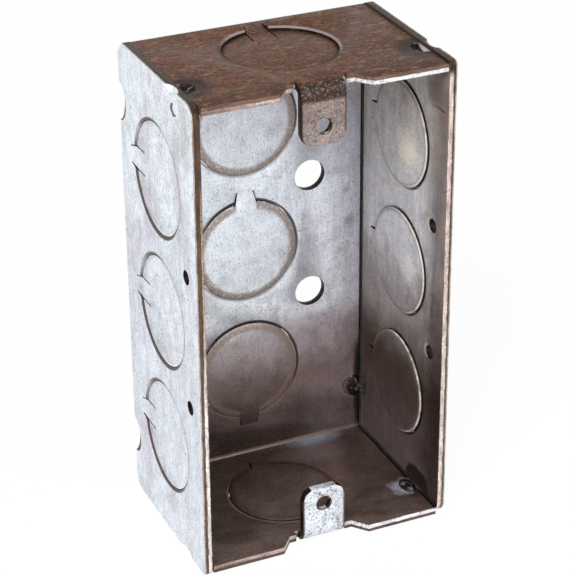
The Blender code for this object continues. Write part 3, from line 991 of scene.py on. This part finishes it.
def plate_inside(name, side):
    """Inner face of a side plate: side is -1 for the left one and 1 for the right one."""
    face = side * PLATE_INNER
    front_weld = (face, WELD_Y - 1.0 * MM, 2.5 * MM)
    back_weld = (face, HALF_DEPTH - 1.5 * MM, WELD_FROM_END)
    scratch = (face, -16.2 * MM, 90.7 * MM)
    lower_shine = (face, -5.1 * MM, 51.4 * MM)
    upper_shine = (face, -3.6 * MM, 77.1 * MM)
    brown = (face, -1.0 * MM, 88.4 * MM)
    smoky = (face, -13.4 * MM, 93.5 * MM)
    # Painted highlights round the two small holes.
    hole_rim_highlights = [
        mark(
            (face, PLATE_HOLE_Y, MIDDLE + step * KNOCKOUT_PITCH), 1.7 * MM, 0.55,
            shade(214, 200, 190), core=0.75, ragged=0.4 * MM,
        )
        for step in (-0.5, 0.5)
    ]
    look = dict(
        INSIDE_LOOK,
        clouds=0.1,
        streaks=0.1,
        # Painted shade: the inner face is darker in its lower half.
        stops=[
            (4 * MM, shade(112, 97, 96)),
            (14 * MM, shade(96, 82, 80)),
            (26 * MM, shade(80, 66, 58)),
            (42 * MM, shade(156, 148, 148)),
            (58 * MM, shade(212, 211, 214)),
            (96 * MM, shade(206, 200, 194)),
        ],
        # Painted shade towards the front edge.
        shading=[(Y, -8 * MM, -17 * MM, shade(170, 158, 152))],
        # Painted shade in the corners: at the back seam, under the top end and above the foot.
        lines=[
            (Y, BACK_INNER - 0.4 * MM, BACK_INNER - 0.2 * MM, shade(60, 44, 38)),
            (Z, END_FACE - 0.5 * MM, END_FACE - 0.1 * MM, shade(84, 66, 54)),
            (Z, FOOT_INNER + 0.7 * MM, FOOT_INNER + 0.3 * MM, shade(90, 70, 60)),
        ],
        wander=6 * MM,
        rough=0.55,
        metal=0.45,
        shine=0.2,
        # Rings: painted shadow on the front of each hole, painted line on the back, painted lip.
        rings=dict(
            PLATE_RINGS,
            shade=(-1.0, 0.2),
            width=0.9 * MM,
            band=(0.6, shade(128, 114, 106)),
            dark=(0.92, shade(26, 20, 18)),
            bright=(0.3, shade(150, 140, 130)),
            lip=(0.85, shade(236, 228, 222)),
        ),
        marks=hole_rim_highlights
        + [
            mark(
                scratch, 0.34 * MM, 0.7, shade(74, 58, 50), stretch=(1.0, 0.1, 1.0),
                ragged=0.3 * MM,
            ),
            # Painted highlights: two light patches higher up the plate.
            mark(
                lower_shine, 4.6 * MM, 0.5, shade(238, 232, 226), core=0.2, ragged=9 * MM,
                grain=1500.0,
            ),
            mark(
                upper_shine, 5.6 * MM, 0.8, shade(252, 242, 222), core=0.2, ragged=16 * MM,
                grain=1900.0,
            ),
            mark(brown, 2.6 * MM, 0.5, shade(160, 130, 108), core=0.2, ragged=6 * MM),
            mark(smoky, 4.2 * MM, 0.6, shade(100, 84, 76), core=0.3, ragged=4 * MM),
            mark(
                front_weld, 4.6 * MM, 0.9, shade(26, 18, 14), stretch=(1.0, 0.75, 1.0), core=0.75,
                ragged=2.5 * MM,
            ),
            mark(back_weld, 3.6 * MM, 0.85, shade(34, 24, 20), 0.2, core=0.6, ragged=2.5 * MM),
        ],
    )
    return galvanised(name, look)


# Shaping helpers


def clear_selection():
    if bpy.context.object and bpy.context.object.mode != "OBJECT":
        bpy.ops.object.mode_set(mode="OBJECT")
    bpy.ops.object.select_all(action="DESELECT")


def make_active(item):
    clear_selection()
    item.select_set(True)
    bpy.context.view_layer.objects.active = item


def apply_modifiers(item):
    make_active(item)
    for modifier in list(item.modifiers):
        bpy.ops.object.modifier_apply(modifier=modifier.name)


def copy_node(node_name, name):
    """A merged copy of a CAD node, with its flats as whole faces."""
    item = bpy.data.objects.new(name, NODES[node_name].data.copy())
    item.data.name = name
    item.data.materials.clear()
    bpy.context.scene.collection.objects.link(item)
    make_active(item)
    bpy.ops.object.mode_set(mode="EDIT")
    bpy.ops.mesh.select_all(action="SELECT")
    bpy.ops.mesh.remove_doubles(threshold=0.001 * MM)
    bpy.ops.mesh.dissolve_limited(angle_limit=math.radians(0.1))
    bpy.ops.object.mode_set(mode="OBJECT")
    return item


def dress(item, finishes, slot_of):
    """Give a piece its finishes, and each face the one that its place calls for."""
    slots = list(finishes)
    for finish in finishes.values():
        item.data.materials.append(finish)
    for face in item.data.polygons:
        face.material_index = slots.index(slot_of(face.center, face.normal))


def soften_edges(item, width):
    """Break the sharp edges of a sheet as a press tool leaves them."""
    bevel = item.modifiers.new("broken_edges", "BEVEL")
    bevel.width = width
    bevel.segments = 2
    bevel.limit_method = "ANGLE"
    bevel.angle_limit = SHARP_ANGLE
    bevel.use_clamp_overlap = True
    bevel.harden_normals = False
    apply_modifiers(item)
    make_active(item)
    bpy.ops.object.shade_smooth_by_angle(angle=SMOOTH_ANGLE)


def mark_through(item, depth_at):
    """Store on each point how far it lies through the sheet, 0 inside to 1 outside."""
    layer = item.data.attributes.new("through", "FLOAT", "POINT")
    layer.data.foreach_set("value", [depth_at(point.co) for point in item.data.vertices])


def from_knockout(across, along, neighbours=1):
    """Distance to the middle of the nearest knockout in a row along a sheet."""
    step = max(-neighbours, min(neighbours, round(along / KNOCKOUT_PITCH)))
    return math.hypot(across, along - step * KNOCKOUT_PITCH)


def is_shear_wall(distance):
    """Whether a steep face at this distance from a knockout's middle was sheared with it."""
    return distance < HOLE_RADIUS + TIE_REACH + SHEAR_WALL_REACH


# Pieces


def strip_knockout_distance(x, y, z):
    """Distance to the nearest knockout of whichever flat of the strip a point is on."""
    if y > HALF_DEPTH - INNER_CORNER:
        return from_knockout(x - PUNCHED_LEFT, z - KNOCKOUT_MIDDLE)
    if z > MIDDLE:
        return math.hypot(x, y - TOP_KNOCKOUT_Y)
    return math.hypot(x - PUNCHED_LEFT, y - FOOT_KNOCKOUT_Y)


def strip_through(point):
    """How far a point lies through the folded strip's sheet."""
    x, y, z = point
    pushed = 0.0
    if strip_knockout_distance(x, y, z) < SLUG_RADIUS + ON_SLUG:
        pushed = TOP_SLUG_PUSH if z > MIDDLE and y < BACK_INNER - SLUG_PUSH else SLUG_PUSH
    rise = max(z, HEIGHT - z)
    fold_y = HALF_DEPTH - INNER_CORNER
    fold_z = END_FACE - INNER_CORNER
    ear_fold_y = EAR_FACE_Y + EAR_OUTER
    ear_fold_z = END_FACE - EAR_OUTER
    on_ear = abs(x) < EAR_HALF_WIDTH + ON_SURFACE and y < ear_fold_y
    if on_ear and rise > ear_fold_z:
        return (math.hypot(y - ear_fold_y, rise - ear_fold_z) - EAR_FOLD) / SHEET
    if on_ear:
        return (EAR_INNER_Y - y) / SHEET
    if y > fold_y and rise > fold_z:
        return (math.hypot(y - fold_y, rise - fold_z) - CORNER_FOLD) / SHEET
    if y > fold_y:
        return (y + pushed - BACK_INNER) / SHEET
    return (rise + pushed - END_FACE + SHEET) / SHEET


def in_weld_crater(x, y, rise, normal):
    """Whether a face belongs to one of the pits melted into the strip's ends."""
    near = abs(x) > STRIP_HALF_WIDTH - CRATER_REACH and abs(y - WELD_Y) < CRATER_LENGTH / 2
    sunk = END_FACE - CRATER_SUNK < rise < END_FACE
    return near and sunk and is_lumpy(normal)


def is_lumpy(normal):
    """Whether a face looks along no axis, as melted, bent and rounded ones do."""
    return max(abs(part) for part in normal) < FLAT


def strip_slot(centre, normal):
    """Which finish of the strip a face has, from its place and the way it looks."""
    x, y, z = centre
    across = abs(x)
    rise = max(z, HEIGHT - z)
    if in_weld_crater(x, y, rise, normal):
        return "melt"
    if abs(normal.x) > FLAT and across > STRIP_HALF_WIDTH - ON_SURFACE:
        return "edge"
    if across < EAR_HALF_WIDTH + ON_SURFACE and y < EAR_INNER_Y:
        leans = abs(normal.y) < STEEP and abs(normal.z) < NEARLY_FLAT
        return "ear_side" if abs(normal.x) > TURNED or leans else "ear"
    on_back = y > HALF_DEPTH - INNER_CORNER
    if across > STRIP_HALF_WIDTH - NUGGET_REACH and is_lumpy(normal):
        to_back_weld = min(abs(z - WELD_FROM_END), abs(HEIGHT - z - WELD_FROM_END))
        to_end_weld = abs(y - WELD_Y)
        if to_back_weld < NUGGET_RADIUS or not on_back and to_end_weld < NUGGET_RADIUS:
            return "bead"
    if on_back and INNER_CORNER < z < HEIGHT - INNER_CORNER:
        if abs(normal.y) < LEANING:
            return "shear"
        return "back_outside" if normal.y > 0 else "back_inside"
    if not on_back and abs(normal.z) < STEEP:
        return "shear" if is_shear_wall(strip_knockout_distance(x, y, z)) else "edge"
    if z > MIDDLE:
        return "top_outside" if normal.z > 0 or normal.y > TURNED else "top_inside"
    return "foot_outside" if normal.z < 0 or normal.y > TURNED else "foot_inside"


class HANDYBOX_OT_folded_strip(Operator):
    """Dress the folded strip: ends, back and ears"""

    bl_idname = "handybox.folded_strip"
    bl_label = "Folded strip"

    def execute(self, context):
        sheet = context.scene.handybox_sheet
        strip = copy_node("folded_strip", "dressed_strip")
        finishes = {
            "back_inside": strip_back_inside(),
            "back_outside": strip_back_outside(),
            "top_outside": strip_top_outside(),
            "top_inside": strip_top_inside(),
            "foot_inside": strip_foot_inside(),
            "foot_outside": strip_foot_outside(),
            "ear": strip_ear(),
            "edge": strip_cut_edges(),
            "shear": sheared_wall("strip_shear_walls", shade(96, 78, 66)),
            # Weld craters: scorched steel painted near black, the shade in the pits painted in.
            "melt": dark_steel("weld_craters", shade(22, 13, 9), shade(176, 162, 164), 0.4, 0.4),
            "ear_side": sheared_wall("ear_cut_sides", WALL_GLINT),
            "bead": dark_steel("weld_nuggets", shade(38, 27, 23), shade(206, 198, 204), 0.4),
        }
        dress(strip, finishes, strip_slot)
        soften_edges(strip, sheet.edge_break)
        mark_through(strip, strip_through)
        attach(strip, "root")
        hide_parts("folded_strip")
        return {"FINISHED"}


def plate_slot(centre, normal):
    """Which finish of a side plate a face has."""
    x, y, z = centre
    side = math.copysign(1, x)
    in_sheet = PLATE_INNER + ON_SURFACE < abs(x) < HALF_WIDTH - ON_SURFACE
    if in_sheet and from_knockout(y, z - KNOCKOUT_MIDDLE) > SLUG_RADIUS + SLUG_CLEARANCE:
        to_back_weld = min(abs(z - WELD_FROM_END), abs(HEIGHT - z - WELD_FROM_END))
        in_back_dip = HALF_DEPTH - BACK_DIP_DEPTH < y < HALF_DEPTH - ON_SURFACE
        if in_back_dip and to_back_weld < BACK_DIP_LENGTH / 2:
            return "melt"
        in_end_dip = ON_SURFACE < z < HEIGHT - ON_SURFACE and min(z, HEIGHT - z) < END_DIP_DEPTH
        if in_end_dip and abs(y - WELD_Y) < END_DIP_LENGTH / 2:
            return "outside" if side < 0 else "melt"
    if abs(normal.x) < LEANING:
        clear_of_ends = ON_SURFACE < z < HEIGHT - ON_SURFACE
        clear_of_rims = abs(y) < HALF_DEPTH - RIM_ZONE
        return "shear" if clear_of_ends and clear_of_rims else "edge"
    return "outside" if normal.x * side > 0 else "inside"


def plate_through(push):
    """A measure of how far a point lies through a side plate whose slugs are pushed in."""

    def depth_at(point):
        depth = abs(point.x) - PLATE_INNER
        if from_knockout(point.y, point.z - KNOCKOUT_MIDDLE) < SLUG_RADIUS + ON_SLUG:
            depth += push
        return depth / SHEET

    return depth_at


class HANDYBOX_OT_side_plates(Operator):
    """Dress the two side plates"""

    bl_idname = "handybox.side_plates"
    bl_label = "Side plates"

    def execute(self, context):
        sheet = context.scene.handybox_sheet
        for side, word, push in ((-1, "left", LEFT_SLUG_PUSH), (1, "right", SLUG_PUSH)):
            plate = copy_node(f"{word}_side_plate", f"dressed_{word}_plate")
            finishes = {
                "outside": plate_outside(f"{word}_plate_outside_zinc"),
                "inside": plate_inside(f"{word}_plate_inside_zinc", side),
                "edge": plate_cut_edges(word),
                "shear": sheared_wall(f"{word}_plate_shear_walls", WALL_GLINT),
                "melt": dark_steel(
                    f"{word}_plate_melted_steel", shade(92, 66, 50), shade(206, 192, 184), 0.5
                ),
            }
            dress(plate, finishes, plate_slot)
            soften_edges(plate, sheet.edge_break)
            mark_through(plate, plate_through(push))
            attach(plate, "root")
            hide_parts(f"{word}_side_plate")
        return {"FINISHED"}


class HANDYBOX_OT_ear_threads(Operator):
    """Wind a turn of screw thread in the hole of each ear"""

    bl_idname = "handybox.ear_threads"
    bl_label = "Ear threads"

    def execute(self, context):
        finish = dark_steel("thread_steel", shade(84, 60, 52), shade(214, 200, 190), 0.6)
        for word, z in (("lower", EAR_HOLE_FROM_END), ("upper", HEIGHT - EAR_HOLE_FROM_END)):
            thread = add_thread(f"{word}_ear_thread")
            make_active(thread)
            thread.rotation_euler = (math.radians(-90), 0, 0)
            thread.location = (0, EAR_FACE_Y + THREAD_SET_IN, z)
            bpy.ops.object.transform_apply(location=True, rotation=True, scale=True)
            bpy.ops.object.shade_smooth_by_angle(angle=SMOOTH_ANGLE)
            thread.data.materials.append(finish)
            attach(thread, "root")
        return {"FINISHED"}


def add_thread(name):
    """One turn of a three-sided ridge, wound round Z and rising along it."""
    clear_selection()
    bpy.ops.mesh.primitive_circle_add(
        vertices=3,
        radius=THREAD_RIDGE,
        fill_type="NOTHING",
        location=(THREAD_RADIUS, 0, 0),
        rotation=(math.radians(90), 0, 0),
    )
    thread = bpy.context.object
    thread.name = name
    thread.data.name = name
    bpy.ops.object.transform_apply(location=True, rotation=True, scale=True)
    winding = thread.modifiers.new("winding", "SCREW")
    winding.axis = "Z"
    winding.angle = 2 * math.pi
    winding.screw_offset = THREAD_PITCH
    winding.iterations = 1
    winding.steps = THREAD_STEPS
    winding.render_steps = THREAD_STEPS
    apply_modifiers(thread)
    bpy.ops.object.mode_set(mode="EDIT")
    bpy.ops.mesh.select_all(action="SELECT")
    bpy.ops.mesh.remove_doubles(threshold=0.0001 * MM)
    bpy.ops.mesh.select_all(action="DESELECT")
    bpy.ops.mesh.select_non_manifold()
    bpy.ops.mesh.fill_holes(sides=3)
    bpy.ops.mesh.select_all(action="SELECT")
    bpy.ops.mesh.normals_make_consistent(inside=False)
    bpy.ops.object.mode_set(mode="OBJECT")
    return thread


class HANDYBOX_OT_stage(Operator):
    """Set the floor, the lamps, the surroundings and the camera"""

    bl_idname = "handybox.stage"
    bl_label = "Stage"

    def execute(self, context):
        stage = context.scene.handybox_stage
        clear_selection()
        bpy.ops.mesh.primitive_plane_add(size=2 * FLOOR_REACH, location=(0, 0, 0))
        floor = context.object
        floor.name = "floor"
        floor.data.materials.append(floor_material(stage.floor_colour))
        surroundings(context.scene, stage.surround)
        add_lamp("key_lamp", (-0.55, -0.55, 0.75), 0.5, stage.key_power)
        add_lamp("fill_lamp", (0.7, -0.5, 0.45), 0.6, stage.fill_power)
        add_lamp("front_lamp", (0.1, -1.0, 0.35), 0.5, stage.front_power)
        set_camera(context.scene, stage)
        context.scene.view_settings.view_transform = "Standard"
        return {"FINISHED"}


def seen_or_mirrored(tree):
    """One where the camera, a mirror or glass sees a surface, and nought in its light."""
    path = place(tree, "ShaderNodeLightPath").outputs
    seen = maths(tree, "MAXIMUM", path["Is Camera Ray"], path["Is Glossy Ray"])
    return maths(tree, "MAXIMUM", seen, path["Is Transmission Ray"])


def floor_material(colour):
    """A pale floor that reads as white and keeps the box's shadow."""
    material, tree, surface, where, _ = new_material("pale_floor")
    surface.inputs["Roughness"].default_value = 0.9
    patches = noise(tree, where, 9.0, 3.0)
    tone = ramp(tree, patches, 0.3, 0.7, 0.985, 1.0)
    shaded = blend(tree, 1.0, (*colour, 1.0), tone, "MULTIPLY")
    tree.links.new(shaded, surface.inputs["Base Color"])
    glow = place(tree, "ShaderNodeEmission", {"Color": WHITE, "Strength": 1.0})
    share = times(tree, seen_or_mirrored(tree), GLOW_SHARE)
    mix = place(
        tree, "ShaderNodeMixShader", {0: share, 1: surface.outputs[0], 2: glow.outputs[0]}
    )
    tree.links.new(mix.outputs[0], tree.nodes["Material Output"].inputs["Surface"])
    return material


def surroundings(scene, strength):
    """Plain white all round, at full strength where it is seen or mirrored."""
    world = bpy.data.worlds.new("plain_surroundings")
    scene.world = world
    world.use_nodes = True
    tree = world.node_tree
    level = ramp(tree, seen_or_mirrored(tree), 0.0, 1.0, strength, 1.0, soft=False)
    backdrop = tree.nodes["Background"]
    backdrop.inputs["Color"].default_value = WHITE
    tree.links.new(level, backdrop.inputs["Strength"])


def add_lamp(name, spot, size, power):
    """A round lamp that looks at the middle of the box."""
    clear_selection()
    turn = (Vector(LAMP_TARGET) - Vector(spot)).to_track_quat("-Z", "Y").to_euler()
    bpy.ops.object.light_add(type="AREA", location=spot, rotation=turn)
    lamp = bpy.context.object
    lamp.name = name
    lamp.data.shape = "DISK"
    lamp.data.size = size
    lamp.data.energy = power


def set_camera(scene, stage):
    """Stand the camera where the photograph was taken from."""
    clear_selection()
    turn, tilt, roll = (math.radians(v) for v in (stage.turn, stage.tilt, stage.roll))
    back = Vector(
        (math.sin(turn) * math.cos(tilt), -math.cos(turn) * math.cos(tilt), math.sin(tilt))
    )
    right = Vector((0, 0, 1)).cross(back).normalized()
    up = back.cross(right)
    level_right = right * math.cos(roll) + up * math.sin(roll)
    level_up = up * math.cos(roll) - right * math.sin(roll)
    axes = Matrix((level_right, level_up, back)).transposed().to_4x4()
    bpy.ops.object.camera_add()
    camera = bpy.context.object
    camera.name = "camera"
    camera.matrix_world = Matrix.Translation(Vector(stage.camera_spot)) @ axes
    camera.data.sensor_width = SENSOR_WIDTH
    camera.data.lens = stage.lens
    camera.data.clip_start = 0.01
    camera.data.clip_end = 10.0
    scene.camera = camera


# Settings


class HandyBoxSheet(PropertyGroup):
    """Broken edge and main shades of the sheet steel"""

    edge_break: FloatProperty(
        name="Broken edge",
        description="Width of the small bevel on every sheared edge",
        default=0.12 * MM,
        min=0.0,
        subtype="DISTANCE",
        unit="LENGTH",
        precision=5,
    )
    outer_zinc: FloatVectorProperty(
        name="Outer zinc",
        description="Bright coat on the outside of the side plates",
        subtype="COLOR",
        default=shade(222, 229, 236)[:3],
    )
    inner_zinc: FloatVectorProperty(
        name="Inner zinc",
        description="Coat at the middle of the back, seen from inside",
        subtype="COLOR",
        default=shade(238, 246, 255)[:3],
    )
    # Painted reflection: the brown of the top end stands for dark surroundings mirrored in it.
    reflection_brown: FloatVectorProperty(
        name="Reflected brown",
        description="Painted reflection on the top end",
        subtype="COLOR",
        default=shade(92, 60, 43)[:3],
    )
    cut_stain: FloatVectorProperty(
        name="Cut stain",
        description="Stain inside the edge of each knockout in the back",
        subtype="COLOR",
        default=shade(150, 130, 116)[:3],
    )
    scorch: FloatVectorProperty(
        name="Scorch",
        description="Burnt steel round the welds of the top end",
        subtype="COLOR",
        default=shade(30, 18, 12)[:3],
    )


class HandyBoxStage(PropertyGroup):
    """Floor, light and camera"""

    floor_colour: FloatVectorProperty(
        name="Floor", description="Colour of the floor", subtype="COLOR", default=(0.9, 0.9, 0.9)
    )
    surround: FloatProperty(
        name="Surround", description="How much light comes from all round", default=0.5, min=0.0
    )
    key_power: FloatProperty(
        name="Key lamp", description="Power of the lamp at the left", default=9.0, unit="POWER"
    )
    fill_power: FloatProperty(
        name="Fill lamp", description="Power of the lamp at the right", default=3.0, unit="POWER"
    )
    front_power: FloatProperty(
        name="Front lamp", description="Power of the lamp before the box", default=2.5, unit="POWER"
    )
    lens: FloatProperty(name="Lens", description="Focal length in millimetres", default=132.66)
    turn: FloatProperty(name="Turn", description="Camera azimuth in degrees", default=-24.13)
    tilt: FloatProperty(name="Tilt", description="Camera elevation in degrees", default=27.655)
    roll: FloatProperty(name="Roll", description="Camera roll in degrees", default=-0.484)
    camera_spot: FloatVectorProperty(
        name="Camera place",
        description="Where the camera stands",
        subtype="XYZ",
        unit="LENGTH",
        default=(-0.15464, -0.34570, 0.24878),
    )


class HANDYBOX_PT_panel(Panel):
    """Buttons and settings of the handy box"""

    bl_idname = "HANDYBOX_PT_panel"
    bl_label = "Handy Box"
    bl_space_type = "VIEW_3D"
    bl_region_type = "UI"
    bl_category = "Handy Box"

    def draw(self, context):
        layout = self.layout
        for settings in (context.scene.handybox_sheet, context.scene.handybox_stage):
            box = layout.box()
            for name in settings.__annotations__:
                box.prop(settings, name)
        for operator in OPERATORS:
            layout.operator(operator.bl_idname)


OPERATORS = (
    HANDYBOX_OT_folded_strip,
    HANDYBOX_OT_side_plates,
    HANDYBOX_OT_ear_threads,
    HANDYBOX_OT_stage,
)
CLASSES = (HandyBoxSheet, HandyBoxStage, *OPERATORS, HANDYBOX_PT_panel)


def register():
    for item in CLASSES:
        bpy.utils.register_class(item)
    bpy.types.Scene.handybox_sheet = PointerProperty(type=HandyBoxSheet)
    bpy.types.Scene.handybox_stage = PointerProperty(type=HandyBoxStage)


def unregister():
    del bpy.types.Scene.handybox_stage
    del bpy.types.Scene.handybox_sheet
    for item in reversed(CLASSES):
        bpy.utils.unregister_class(item)


def main():
    register()
    build_zinc_grain()
    build_rolling_streaks()
    build_knockout_distance()
    build_shear_rings()
    build_scuffs()
    build_stain_and_light_mark()
    bpy.ops.handybox.folded_strip()
    bpy.ops.handybox.side_plates()
    bpy.ops.handybox.ear_threads()
    bpy.ops.handybox.stage()


if __name__ == "__main__":
    main()
